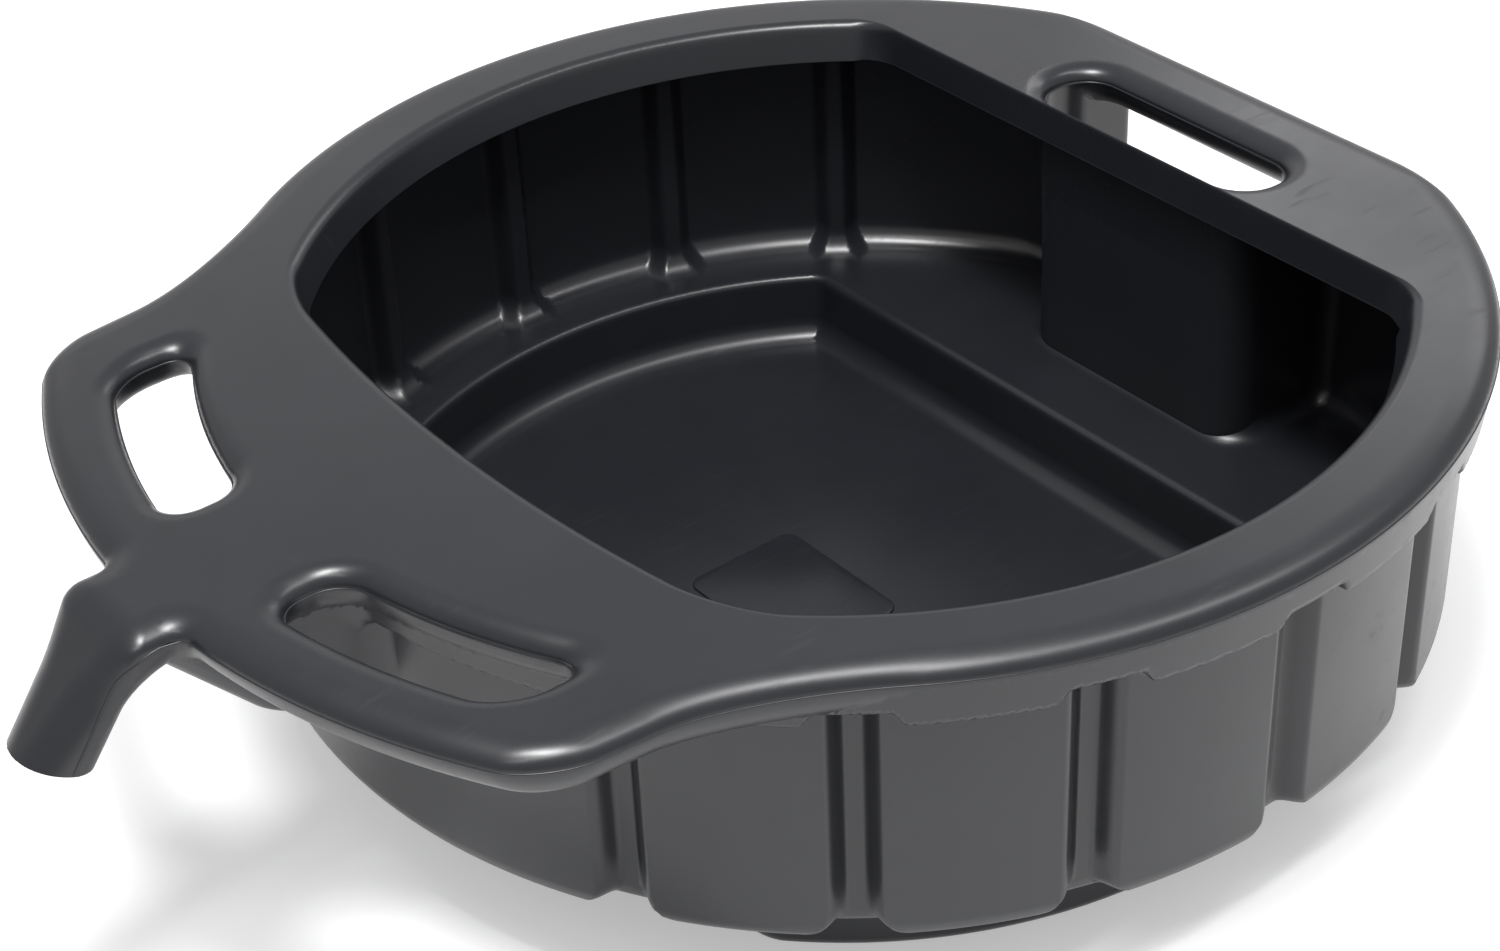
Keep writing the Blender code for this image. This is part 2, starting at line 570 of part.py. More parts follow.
def build_spout(material: bpy.types.Material) -> None:
    """Build the pouring channel and spout as an upper and a lower half."""
    for name, sense, first in (("spout_top", 1.0, 1), ("spout_bottom", -1.0, 0)):
        stations = []
        for x, z, tilt, half, outer, inner in spout_stations()[first:]:
            angle = math.radians(tilt)
            up = (-sense * math.sin(angle), 0.0, sense * math.cos(angle))
            base_x = x + up[0] * GAP / 2
            base_z = z + up[2] * GAP / 2
            height = (outer if sense > 0 else inner) - GAP / 2
            stations.append(((base_x, -half, base_z), (base_x, half, base_z), up, height))
        half_tube(name, material, stations)


def main() -> None:
    """Build the whole pan."""
    clear_scene()
    body = plastic("black_polyethylene", (0.018, 0.019, 0.021), 0.42)
    build_sump(body)
    build_ledge(body)
    build_bowl_walls(body)
    build_recess(body)
    build_skirt(body)
    build_rim(body)
    build_front_deck(body)
    build_front_handles(body)
    build_rear_deck(body)
    build_spout(body)


main()
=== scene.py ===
"""Looks of the oil drain pan: one blow-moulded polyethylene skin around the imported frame.

The moulding has no seams between its regions: rim, decks, handles, spout, walls, ledge
and sump run into each other in soft blends. Its outer and inner surfaces are therefore
written as one form, meshed once, and parted into named pieces without moving a point.
The lip of the opening, the spout's bore, the parting-line flash and the floor pad are
pieces of their own.
"""

import logging
import math
from dataclasses import dataclass, field
from enum import Enum
from typing import Callable

import bmesh
import bpy
import numpy as np
from mathutils import Matrix, Vector


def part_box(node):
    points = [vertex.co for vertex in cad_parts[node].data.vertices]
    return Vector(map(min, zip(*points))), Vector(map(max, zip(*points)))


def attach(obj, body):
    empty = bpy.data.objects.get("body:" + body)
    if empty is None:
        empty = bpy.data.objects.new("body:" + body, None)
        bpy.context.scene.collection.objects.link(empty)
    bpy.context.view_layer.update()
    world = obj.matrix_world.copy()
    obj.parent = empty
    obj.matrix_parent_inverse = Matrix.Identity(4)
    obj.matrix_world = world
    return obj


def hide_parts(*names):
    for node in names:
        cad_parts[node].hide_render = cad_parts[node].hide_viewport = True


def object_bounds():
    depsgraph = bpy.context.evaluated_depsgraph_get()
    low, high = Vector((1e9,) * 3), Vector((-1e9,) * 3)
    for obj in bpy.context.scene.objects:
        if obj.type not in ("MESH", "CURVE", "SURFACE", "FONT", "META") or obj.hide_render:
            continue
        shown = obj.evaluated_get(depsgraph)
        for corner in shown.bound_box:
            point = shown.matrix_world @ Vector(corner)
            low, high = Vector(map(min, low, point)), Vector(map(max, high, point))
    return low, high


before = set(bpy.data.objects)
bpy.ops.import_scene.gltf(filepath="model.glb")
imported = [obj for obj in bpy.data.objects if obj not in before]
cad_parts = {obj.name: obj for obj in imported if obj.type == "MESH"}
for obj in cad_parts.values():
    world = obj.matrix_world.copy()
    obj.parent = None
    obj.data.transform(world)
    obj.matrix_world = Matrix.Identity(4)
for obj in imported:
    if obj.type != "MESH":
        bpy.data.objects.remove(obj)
CAD_LOW, CAD_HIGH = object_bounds()
LOG = logging.getLogger("drain_pan")
MM = 0.001

Array = np.ndarray


# ---------------------------------------------------------------- joining of forms

def round_max(a: Array, b: Array, radius: float) -> Array:
    """Intersect two forms and round the edge between them.

    Args:
        a: Signed distance to the first form, negative inside.
        b: Signed distance to the second form.
        radius: Radius of the rounded edge, in metres.

    Returns:
        Signed distance to what both forms hold.
    """
    flat = np.minimum(np.maximum(a, b), -radius)
    return flat + np.hypot(np.maximum(a + radius, 0.0), np.maximum(b + radius, 0.0))


def round_min(a: Array, b: Array, radius: float) -> Array:
    """Join two forms with a fillet of the given radius."""
    return -round_max(-a, -b, radius)


def smooth_step(value: Array) -> Array:
    """Ease from 0 to 1 with level ends."""
    t = np.clip(value, 0.0, 1.0)
    return t * t * (3.0 - 2.0 * t)


def line_distance(x: Array, z: Array, start: tuple[float, float], end: tuple[float, float]) -> Array:
    """Give the signed distance to a line, positive on the left of its direction."""
    length = math.hypot(end[0] - start[0], end[1] - start[1])
    across = (x - start[0]) * (end[1] - start[1]) - (z - start[1]) * (end[0] - start[0])
    return -across / length


# ---------------------------------------------------------------- the moulded form

@dataclass(frozen=True)
class Levels:
    """Heights and chords that the frame fixes, in metres."""

    top: float
    parting: float
    ledge_under: float
    ledge_top: float
    rear_edge: float
    rear_slot_inner: float
    rear_slot_outer: float
    rear_slot_half: float

    @classmethod
    def from_frame(cls) -> "Levels":
        """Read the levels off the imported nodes."""
        handle_low, handle_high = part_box("rear_handle_top")
        ledge_low, ledge_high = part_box("ledge_rear")
        return cls(
            top=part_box("front_deck")[1].z,
            parting=handle_low.z,
            ledge_under=ledge_low.z,
            ledge_top=ledge_high.z,
            rear_edge=handle_high.x,
            rear_slot_inner=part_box("rear_deck_middle")[1].x,
            rear_slot_outer=handle_low.x,
            rear_slot_half=handle_high.y,
        )


@dataclass(frozen=True)
class SpoutCut:
    """Plane on which the spout's end is cut off, as (X, Z) pairs in metres."""

    point: tuple[float, float] = (-350.5 * MM, 114.0 * MM)
    normal: tuple[float, float] = (-0.2927, -0.9562)
    leg: tuple[float, float] = (-0.56, -0.83)
    middle: tuple[float, float] = (-338.25 * MM, 110.25 * MM)
    reach: float = -300.0 * MM


@dataclass(frozen=True)
class PanForm:
    """The pan's shape as signed distances; every size is in metres."""

    level: Levels
    wall: float = 3.0 * MM
    rim_radius: float = 240.0 * MM
    rear_corner: float = 9.0 * MM
    rim_rounding: float = 13.0 * MM
    slot_rounding: float = 9.0 * MM
    handle_centre: float = -7.0 * MM
    handle_radius: float = 290.0 * MM
    handle_corner: float = 15.0 * MM
    handle_side: tuple[float, float] = (-175.0 * MM, 166.0 * MM)
    handle_side_slope: float = 0.10
    handle_fillet: float = 26.0 * MM
    handle_depth: float = 13.0 * MM
    handle_rounding: float = 12.5 * MM
    handle_back: float = -120.0 * MM
    neck_half: float = 23.5 * MM
    neck_fillet: float = 6.0 * MM
    neck_end: float = -306.0 * MM
    slot_radii: tuple[float, float] = (236.0 * MM, 264.5 * MM)
    slot_reach: tuple[float, float] = (32.0 * MM, 125.0 * MM)
    slot_corner: float = 12.0 * MM
    skirt_drop: float = 18.5 * MM
    skirt_draft: float = 2.2 * MM
    skirt_rise: float = 6.0 * MM
    skirt_edge: float = 1.8 * MM
    skirt_crease: float = 1.0 * MM
    panel_inset: float = 8.4 * MM
    panel_edge: float = 10.0 * MM
    panel_corner: float = 15.0 * MM
    groove_depth: float = 8.0 * MM
    groove_mouth: float = 20.5 * MM
    groove_floor: float = 5.0 * MM
    groove_first: float = 51.0
    groove_pitch: float = 19.7
    groove_count: int = 6
    notch_half: float = 3.5
    notch_ease: float = 1.4
    sump_radius: float = 200.4 * MM
    sump_rear: float = 120.0 * MM
    sump_front: float = -152.0 * MM
    sump_corner: float = 6.0 * MM
    sump_edge: float = 5.0 * MM
    ledge_fillet: float = 12.0 * MM
    ledge_nose: float = 3.5 * MM
    floor_fillet: float = 10.0 * MM
    recess_lean: float = 8.0 * MM
    recess_half: float = 57.0 * MM
    recess_corner: float = 10.0 * MM
    opening_radius: float = 212.5 * MM
    opening_rear: float = 147.0 * MM
    opening_front: float = -178.5 * MM
    opening_front_radius: float = 679.0 * MM
    opening_corner: float = 13.0 * MM
    opening_rear_corner: float = 8.0 * MM
    channel_flat_end: float = -262.0 * MM
    channel_depth: float = 58.0 * MM
    channel_climb: tuple[float, float] = (38.0 * MM, 44.0 * MM)
    channel_half: float = 24.0 * MM
    channel_flare: float = 6.0 * MM
    channel_flare_length: float = 30.0 * MM
    channel_edge: float = 12.0 * MM
    channel_ends: tuple[float, float] = (-306.0 * MM, -215.0 * MM)
    spout_top: float = -313.5 * MM
    spout_heel: tuple[float, float] = (-308.5 * MM, 135.3 * MM)
    spout_heel_low: tuple[float, float] = (-326.0 * MM, 106.5 * MM)
    spout_bend: float = 6.0 * MM
    spout_crook: float = 9.0 * MM
    spout_bend_centre: tuple[float, float] = (-316.0 * MM, 148.0 * MM)
    spout_length: float = 40.0 * MM
    spout_taper: float = 5.5 * MM
    spout_crown: float = 13.0 * MM
    spout_heel_thinning: float = 1.5 * MM
    spout_extra_rounding: float = 3.5 * MM
    spout_start: float = -270.0 * MM
    cut: SpoutCut = SpoutCut()

    # ---- outlines seen from above

    def plan(self, x: Array, y: Array) -> Array:
        """Outline of the rim, decks, handles and spout neck at the parting line."""
        disc = np.hypot(x, y) - self.rim_radius
        bowl = round_max(disc, x - self.level.rear_edge, self.rear_corner)
        arc = np.hypot(x - self.handle_centre, y) - self.handle_radius
        slope = self.handle_side_slope
        side = (y - self.handle_side[1] - slope * (x - self.handle_side[0])) / math.hypot(1.0, slope)
        handle = np.maximum(round_max(arc, side, self.handle_corner), x - self.handle_back)
        outline = round_min(bowl, handle, self.handle_fillet)
        neck = np.maximum(np.maximum(y - self.neck_half, self.neck_end - x), x)
        return round_min(outline, neck, self.neck_fillet)

    def slots(self, x: Array, y: Array) -> Array:
        """Outline of the hand slots, negative inside them."""
        radius = np.hypot(x - self.handle_centre, y)
        across = np.maximum(self.slot_radii[0] - radius, radius - self.slot_radii[1])
        along = np.maximum(self.slot_reach[0] - y, y - self.slot_reach[1])
        front = np.maximum(round_max(across, along, self.slot_corner), x + self.rim_radius / 2)
        middle = (self.level.rear_slot_inner + self.level.rear_slot_outer) / 2
        half = (self.level.rear_slot_outer - self.level.rear_slot_inner) / 2
        rear = round_max(abs(x - middle) - half, y - self.level.rear_slot_half, half - 1.0 * MM)
        return np.minimum(front, rear)

    def opening(self, x: Array, y: Array) -> Array:
        """Outline where the flat top ends and the lip turns down, negative inside."""
        y = abs(y)
        centre = self.opening_front + self.opening_front_radius
        front = np.hypot(x - centre, y) - self.opening_front_radius
        ring = np.hypot(x, y) - self.opening_radius
        cut = round_max(ring, x - self.opening_rear, self.opening_rear_corner)
        return round_max(cut, front, self.opening_corner)

    # ---- bodies

    def plate(self, plan: Array, slots: Array, z: Array) -> Array:
        """Half-round edged plate: shallow above the parting line, deeper below it."""
        above = z >= self.level.parting
        rise = np.where(above, self.level.top - self.level.parting, self.handle_depth)
        edge = np.where(above, self.rim_rounding, self.handle_rounding)
        slot_edge = np.where(above, self.slot_rounding, self.handle_rounding)
        a = np.maximum(1.0 + plan / edge, 0.0)
        b = np.maximum(1.0 - slots / slot_edge, 0.0)
        c = abs(z - self.level.parting) / rise
        reach = np.sqrt(a * a + b * b + c * c) + 1e-9
        slope = np.sqrt((a / edge) ** 2 + (b / slot_edge) ** 2 + (c / rise) ** 2) / reach
        return (reach - 1.0) / np.maximum(slope, 1.0)

    def groove(self, x: Array, y: Array, z: Array) -> tuple[Array, Array]:
        """Depth of the wall grooves, and how far the skirt's edge steps up over them.

        A groove widens in a quarter round at its foot, which rounds the panels' lower corners.
        """
        angle = np.degrees(np.arctan2(y, x))
        index = np.clip(np.round((angle - self.groove_first) / self.groove_pitch), 0, self.groove_count - 1)
        away = abs(angle - self.groove_first - index * self.groove_pitch)
        panel = self.rim_radius - self.panel_inset
        distance = np.radians(away) * panel
        foot = np.clip(1.0 - (z - self.level.ledge_under) / self.panel_corner, 0.0, 1.0)
        spread = self.panel_corner * (1.0 - np.sqrt(1.0 - foot * foot))
        distance = np.maximum(distance - spread, 0.0)
        half = self.groove_mouth / 2
        depth = self.groove_depth * smooth_step((half - distance) / (half - self.groove_floor / 2))
        step = self.skirt_rise * smooth_step((self.notch_half + self.notch_ease / 2 - away) / self.notch_ease)
        return depth, step

    def wall_side(self, x: Array, y: Array, depth: Array, inset: float) -> Array:
        """Side of the bowl wall with its grooves, moved inwards by an inset."""
        panel = self.rim_radius - self.panel_inset - inset
        rear = self.level.rear_edge - self.panel_inset - inset
        return round_max(np.hypot(x, y) - panel + depth, x - rear, self.rear_corner)

    def sump_side(self, x: Array, y: Array) -> Array:
        """Side of the sump: a circle cut by a rear and a front chord."""
        cut = round_max(np.hypot(x, y) - self.sump_radius, x - self.sump_rear, self.sump_corner)
        return round_max(cut, self.sump_front - x, self.sump_corner)

    def recess(self, x: Array, y: Array, z: Array) -> Array:
        """Space for the fingers behind and below the rear handle."""
        climb = (z - self.level.ledge_top) / (self.level.top - self.level.ledge_top)
        face = self.level.rear_slot_inner + self.recess_lean * (1.0 - np.clip(climb, 0.0, 1.0))
        hollow = round_max(face - x, y - self.recess_half, self.recess_corner)
        return np.maximum(hollow, z - self.level.parting - 2.0 * MM)

    def channel(self, x: Array, y: Array, z: Array, inset: float) -> Array:
        """Pouring channel under the neck, moved inwards by an inset."""
        low = self.level.parting - self.channel_depth
        along, up = self.channel_climb
        rise = line_distance(x, z, (self.channel_flat_end, low), (self.channel_flat_end - along, low + up))
        under = round_max(low - z, rise, self.channel_edge) + inset
        flare = smooth_step((x - self.channel_flat_end) / self.channel_flare_length)
        side = abs(y) - self.channel_half - self.channel_flare * flare + inset
        ends = np.maximum(x - self.channel_ends[1], self.channel_ends[0] - x)
        return np.maximum(round_max(under, side, self.channel_edge - inset), ends)

    def spout(self, x: Array, y: Array, z: Array) -> Array:
        """Neck end and down-turned spout, without end below the tip."""
        outer = line_distance(x, z, self.cut.point, (self.spout_top, self.level.top))
        inner = line_distance(x, z, self.spout_heel, self.spout_heel_low)
        upper = round_max(z - self.level.top, outer, self.spout_bend)
        lower = round_min(self.level.parting - self.handle_depth - z, inner, self.spout_crook)
        bend_x, bend_z = self.spout_bend_centre
        leg_x, leg_z = self.cut.leg
        along = ((x - bend_x) * leg_x + (z - bend_z) * leg_z) / self.spout_length
        leg = smooth_step(along * 1.4 + 0.25)
        half = self.neck_half - self.spout_taper * np.clip(along, 0.0, 1.6)
        rise = self.level.top - self.level.parting
        crown = rise + (self.spout_crown - rise) * leg
        heel = self.handle_depth - self.spout_heel_thinning * leg
        across = self.rim_rounding + self.spout_extra_rounding * leg
        a = np.maximum(np.maximum(1.0 + upper / crown, 1.0 + lower / heel), 0.0)
        b = np.maximum(1.0 - (half - abs(y)) / across, 0.0)
        reach = np.sqrt(a * a + b * b) + 1e-9
        slope = np.sqrt((a / crown) ** 2 + (b / across) ** 2) / reach
        return np.maximum((reach - 1.0) / np.maximum(slope, 1.0), x - self.spout_start)

    def outside(self, x: Array, y: Array, z: Array) -> Array:
        """The whole outer surface, closed over the opening."""
        y = abs(y)
        plan = self.plan(x, y)
        slots = self.slots(x, y)
        depth, step = self.groove(x, y, z)
        plate = self.plate(plan, slots, z)
        disc = np.hypot(x, y) - self.rim_radius
        rim = round_max(disc, x - self.level.rear_edge, self.rear_corner)
        drop = (self.level.parting - z) / self.skirt_drop
        skirt_low = self.level.parting - self.skirt_drop + step
        skirt = round_max(rim + self.skirt_draft * drop, skirt_low - z, self.skirt_edge)
        wall = round_max(self.wall_side(x, y, depth, 0.0), self.level.ledge_under - z, self.panel_edge)
        body = round_min(skirt, wall, self.skirt_crease)
        sump = round_max(self.sump_side(x, y), -z, self.sump_edge)
        body = round_min(body, sump, 4.0 * MM)
        body = round_min(body, self.channel(x, y, z, 0.0), 8.0 * MM)
        body = round_max(body, -self.recess(x, y, z), 4.0 * MM)
        body = round_max(body, -slots, 2.0 * MM)
        lower = np.minimum(body, plate)
        whole = np.where(z >= self.level.parting, plate, lower)
        return np.minimum(whole, self.spout(x, y, z))

    def inside(self, x: Array, y: Array, z: Array) -> Array:
        """The inner surface, closed by the underside of the decks; negative in the hollow."""
        y = abs(y)
        depth, _ = self.groove(x, y, z)
        side = self.wall_side(x, y, depth, self.wall)
        bowl = round_max(side, self.level.ledge_top - z, self.ledge_fillet)
        sump = round_max(self.sump_side(x, y) + self.wall, self.wall - z, self.floor_fillet)
        hollow = round_min(bowl, sump, self.ledge_nose)
        hollow = round_min(hollow, self.channel(x, y, z, self.wall), 6.0 * MM)
        hollow = round_max(hollow, self.wall - self.recess(x, y, z), 8.0 * MM)
        return round_max(hollow, z - self.level.top + self.wall, 3.0 * MM)


# ---------------------------------------------------------------- meshing a form

Field = Callable[[Array, Array, Array], Array]
CORNERS = [(i, j, k) for i in (0, 1) for j in (0, 1) for k in (0, 1)]
EDGES = [
    (a, b) for a in CORNERS for b in CORNERS
    if sum(b) - sum(a) == 1 and all(q >= p for p, q in zip(a, b))
]


@dataclass
class Skin:
    """A quad mesh laid on the zero surface of a form."""

    form: Field
    points: Array = field(default_factory=lambda: np.zeros((0, 3)))
    faces: Array = field(default_factory=lambda: np.zeros((0, 4), int))
    normals: Array = field(default_factory=lambda: np.zeros((0, 3)))

    def lay(self, low: Vector, high: Vector, pitch: float, outward: float) -> "Skin":
        """Cover the surface between two corners.

        Args:
            low: Lowest corner of the space to search.
            high: Highest corner.
            pitch: Spacing of the mesh.
            outward: 1 if faces look away from the form, -1 if they look into it.

        Returns:
            This skin, with its points settled on the surface.
        """
        half = int(math.ceil(high.y / pitch))
        xs = np.arange(low.x, high.x, pitch)
        ys = (np.arange(half) + 0.5) * pitch
        zs = np.arange(low.z, high.z, pitch)
        values = self._sample(xs, ys, zs)
        values = np.concatenate([values[:, ::-1, :], values], axis=1)
        origin = np.array([xs[0], -ys[-1], zs[0]])
        self._net(values, origin, pitch, outward)
        self._settle(pitch)
        self.normals = self._gradient(self.points) * outward
        self.normals /= np.linalg.norm(self.normals, axis=1)[:, None]
        return self

    def _sample(self, xs: Array, ys: Array, zs: Array) -> Array:
        """Evaluate the form on a grid, one slab at a time."""
        values = np.zeros((len(xs), len(ys), len(zs)), np.float32)
        slab = 24
        for start in range(0, len(xs), slab):
            x, y, z = np.meshgrid(xs[start:start + slab], ys, zs, indexing="ij")
            values[start:start + slab] = self.form(x, y, z)
        return values

    def _net(self, values: Array, origin: Array, pitch: float, outward: float) -> None:
        """Put one point in every cell that the surface crosses and join them in quads."""
        inside = values < 0
        size = [n - 1 for n in values.shape]

        def corner(block: Array, offset: tuple) -> Array:
            return block[tuple(slice(o, o + n) for o, n in zip(offset, size))]

        count = sum(corner(inside, c).astype(np.int8) for c in CORNERS)
        cells = np.argwhere((count > 0) & (count < 8))
        index = -np.ones(size, np.int64)
        index[tuple(cells.T)] = np.arange(len(cells))
        total = np.zeros((len(cells), 3))
        crossings = np.zeros(len(cells))
        for a, b in EDGES:
            first = values[tuple((cells + a).T)].astype(float)
            last = values[tuple((cells + b).T)].astype(float)
            hit = (first < 0) != (last < 0)
            share = np.where(hit, first / np.where(hit, first - last, 1.0), 0.0)
            place = np.array(a) + share[:, None] * (np.array(b) - np.array(a))
            total += place * hit[:, None]
            crossings += hit
        self.points = origin + (cells + total / crossings[:, None]) * pitch
        quads = []
        for axis in range(3):
            step = [int(axis == d) for d in range(3)]
            u, v = [d for d in range(3) if d != axis]
            shape = [n - s for n, s in zip(values.shape, step)]
            here = inside[tuple(slice(0, n) for n in shape)]
            there = inside[tuple(slice(s, s + n) for s, n in zip(step, shape))]
            spots = np.argwhere(here != there)
            keep = (spots[:, u] > 0) & (spots[:, v] > 0) & (spots[:, u] < size[u]) & (spots[:, v] < size[v])
            spots = spots[keep]
            ring = []
            for du, dv in ((1, 1), (0, 1), (0, 0), (1, 0)):
                cell = spots.copy()
                cell[:, u] -= du
                cell[:, v] -= dv
                ring.append(index[tuple(cell.T)])
            quad = np.stack(ring, axis=1)
            sign = 1.0 if axis != 1 else -1.0
            leaving = here[tuple(spots.T)] if outward * sign > 0 else ~here[tuple(spots.T)]
            quad[~leaving] = quad[~leaving][:, ::-1]
            quads.append(quad)
        self.faces = np.concatenate(quads)

    def _gradient(self, points: Array) -> Array:
        """Measure the form's slope at points."""
        reach = 0.15 * MM
        slope = np.zeros_like(points)
        for axis in range(3):
            shift = np.zeros(3)
            shift[axis] = reach
            ahead = self.form(*(points + shift).T)
            behind = self.form(*(points - shift).T)
            slope[:, axis] = (ahead - behind) / (2.0 * reach)
        return slope + 1e-12

    def _settle(self, pitch: float) -> None:
        """Slide the points down the slope onto the surface."""
        for _ in range(4):
            slope = self._gradient(self.points)
            value = self.form(*self.points.T)
            move = value / np.maximum((slope ** 2).sum(axis=1), 0.05)
            limit = 0.5 * pitch
            self.points -= slope * np.clip(move, -limit, limit)[:, None]

    def centres(self) -> Array:
        """Give the middle of each face."""
        return self.points[self.faces].mean(axis=1)

    def drop(self, gone: Array) -> None:
        """Take faces away."""
        self.faces = self.faces[~gone]

    def border(self) -> Array:
        """Give the indices of the points on open edges."""
        ends = np.concatenate([self.faces[:, [k, (k + 1) % 4]] for k in range(4)])
        ends.sort(axis=1)
        pairs, times = np.unique(ends, axis=0, return_counts=True)
        return np.unique(pairs[times == 1])

    def trim_opening(self, outline: Callable[[Array, Array], Array], level: float) -> None:
        """Cut the flat face over the bowl away along an outline.

        Args:
            outline: Signed plan distance, negative in the part to cut away.
            level: Height of the flat face.
        """
        middle = self.centres()
        near = abs(middle[:, 2] - level) < 2.0 * MM
        self.drop(near & (outline(middle[:, 0], middle[:, 1]) < 0))
        edge = self.border()
        edge = edge[abs(self.points[edge, 2] - level) < 2.0 * MM]
        for _ in range(3):
            x, y = self.points[edge, 0], self.points[edge, 1]
            reach = 0.1 * MM
            value = outline(x, y)
            gx = (outline(x + reach, y) - outline(x - reach, y)) / (2 * reach)
            gy = (outline(x, y + reach) - outline(x, y - reach)) / (2 * reach)
            size = np.maximum(gx * gx + gy * gy, 0.2)
            self.points[edge, 0] -= value * gx / size
            self.points[edge, 1] -= value * gy / size
        self.points[edge, 2] = level

    def trim_spout(self, cut: SpoutCut) -> None:
        """Cut the spout's end off and slide the border onto the cut.

        Args:
            cut: The plane, the way the leg runs and how far the cut works.
        """
        point = np.array([cut.point[0], 0.0, cut.point[1]])
        normal = np.array([cut.normal[0], 0.0, cut.normal[1]])
        along = np.array([cut.leg[0], 0.0, cut.leg[1]])
        reach = cut.reach
        middle = self.centres()
        self.drop(((middle - point) @ normal > 0) & (middle[:, 0] < reach))
        edge = self.border()
        gap = (self.points[edge] - point) @ normal
        edge = edge[(abs(gap) < 3.0 * MM) & (self.points[edge, 0] < reach)]
        gap = (self.points[edge] - point) @ normal
        self.points[edge] -= (gap / (along @ normal))[:, None] * along


def raise_mesh(name: str, points: Array, faces: Array, normals: Array | None = None) -> bpy.types.Object:
    """Make an object of points and quads, smooth shaded.

    Args:
        name: The piece's name.
        points: Point places.
        faces: Four point indices for each face.
        normals: Surface normals to shade with, one for each point, or None.

    Returns:
        The new object, at the origin.
    """
    used, compact = np.unique(faces, return_inverse=True)
    compact = compact.reshape(faces.shape)
    mesh = bpy.data.meshes.new(name)
    mesh.vertices.add(len(used))
    mesh.vertices.foreach_set("co", points[used].astype(np.float32).ravel())
    mesh.loops.add(compact.size)
    mesh.loops.foreach_set("vertex_index", compact.astype(np.int32).ravel())
    mesh.polygons.add(len(compact))
    mesh.polygons.foreach_set("loop_start", np.arange(0, compact.size, 4, dtype=np.int32))
    mesh.update(calc_edges=True)
    mesh.polygons.foreach_set("use_smooth", np.ones(len(compact), bool))
    if normals is not None:
        mesh.normals_split_custom_set_from_vertices(normals[used].tolist())
    item = bpy.data.objects.new(name, mesh)
    bpy.context.scene.collection.objects.link(item)
    return item


def loft(name: str, rings: list[Array], closed: bool = True) -> bpy.types.Object:
    """Bridge a row of matching rings of points."""
    count = len(rings[0])
    points = np.concatenate(rings)
    row = np.arange(count if closed else count - 1)
    after = (row + 1) % count
    faces = []
    for k in range(len(rings) - 1):
        here, there = k * count, (k + 1) * count
        faces.append(np.stack([here + row, here + after, there + after, there + row], axis=1))
    return raise_mesh(name, points, np.concatenate(faces))


# ---------------------------------------------------------------- finishes

@dataclass(frozen=True)
class Polyethylene:
    """Black moulded polyethylene.

    roughness is the middle of the satin, spread its drift over the surface, grain the
    height of the moulded grain and scuffs how much fine rubbing dulls it.
    """

    name: str
    colour: tuple[float, float, float] = (0.0095, 0.0100, 0.0125)
    roughness: float = 0.31
    spread: float = 0.05
    grain: float = 0.35
    scuffs: float = 0.5

    def make(self) -> bpy.types.Material:
        """Build the node material."""
        material = bpy.data.materials.new(self.name)
        material.use_nodes = True
        tree = material.node_tree
        shader = tree.nodes["Principled BSDF"]
        shader.inputs["IOR"].default_value = 1.51
        shader.inputs["Specular IOR Level"].default_value = 0.5
        place = tree.nodes.new("ShaderNodeTexCoord")

        def noise(scale: float, detail: float, rough: float) -> bpy.types.Node:
            node = tree.nodes.new("ShaderNodeTexNoise")
            node.inputs["Scale"].default_value = scale
            node.inputs["Detail"].default_value = detail
            node.inputs["Roughness"].default_value = rough
            tree.links.new(place.outputs["Object"], node.inputs["Vector"])
            return node

        def spread(
            source: bpy.types.NodeSocket, low: float, high: float, a: float, b: float
        ) -> bpy.types.Node:
            node = tree.nodes.new("ShaderNodeMapRange")
            for key, value in zip(("From Min", "From Max", "To Min", "To Max"), (low, high, a, b)):
                node.inputs[key].default_value = value
            tree.links.new(source, node.inputs["Value"])
            return node

        cloud = noise(9.0, 4.0, 0.6)
        smooth, rough = self.roughness - self.spread, self.roughness + self.spread
        satin = spread(cloud.outputs["Fac"], 0.3, 0.7, smooth, rough)
        stretch = tree.nodes.new("ShaderNodeMapping")
        stretch.inputs["Rotation"].default_value = (0.0, 0.0, 0.6)
        stretch.inputs["Scale"].default_value = (1.0, 9.0, 3.0)
        tree.links.new(place.outputs["Object"], stretch.inputs["Vector"])
        rub = noise(38.0, 7.0, 0.7)
        tree.links.new(stretch.outputs["Vector"], rub.inputs["Vector"])
        dull = spread(rub.outputs["Fac"], 0.58, 0.72, 0.0, 0.22 * self.scuffs)
        total = tree.nodes.new("ShaderNodeMath")
        total.operation = "ADD"
        tree.links.new(satin.outputs["Result"], total.inputs[0])
        tree.links.new(dull.outputs["Result"], total.inputs[1])
        tree.links.new(total.outputs["Value"], shader.inputs["Roughness"])
        tint = tree.nodes.new("ShaderNodeMix")
        tint.data_type = "RGBA"
        tint.inputs["A"].default_value = (*self.colour, 1.0)
        tint.inputs["B"].default_value = (*(c * 1.5 for c in self.colour), 1.0)
        tree.links.new(noise(26.0, 5.0, 0.65).outputs["Fac"], tint.inputs["Factor"])
        tree.links.new(tint.outputs["Result"], shader.inputs["Base Color"])
        grain = noise(1500.0, 2.0, 0.6)
        peel = noise(260.0, 2.0, 0.5)
        wave = noise(22.0, 2.0, 0.4)
        height = None
        for source, amount in ((grain, 0.022 * MM), (peel, 0.03 * MM), (wave, 0.30 * MM)):
            bump = tree.nodes.new("ShaderNodeBump")
            bump.inputs["Strength"].default_value = self.grain
            bump.inputs["Distance"].default_value = amount
            tree.links.new(source.outputs["Fac"], bump.inputs["Height"])
            if height is not None:
                tree.links.new(height.outputs["Normal"], bump.inputs["Normal"])
            height = bump
        tree.links.new(height.outputs["Normal"], shader.inputs["Normal"])
        return material


# ---------------------------------------------------------------- sub-assemblies

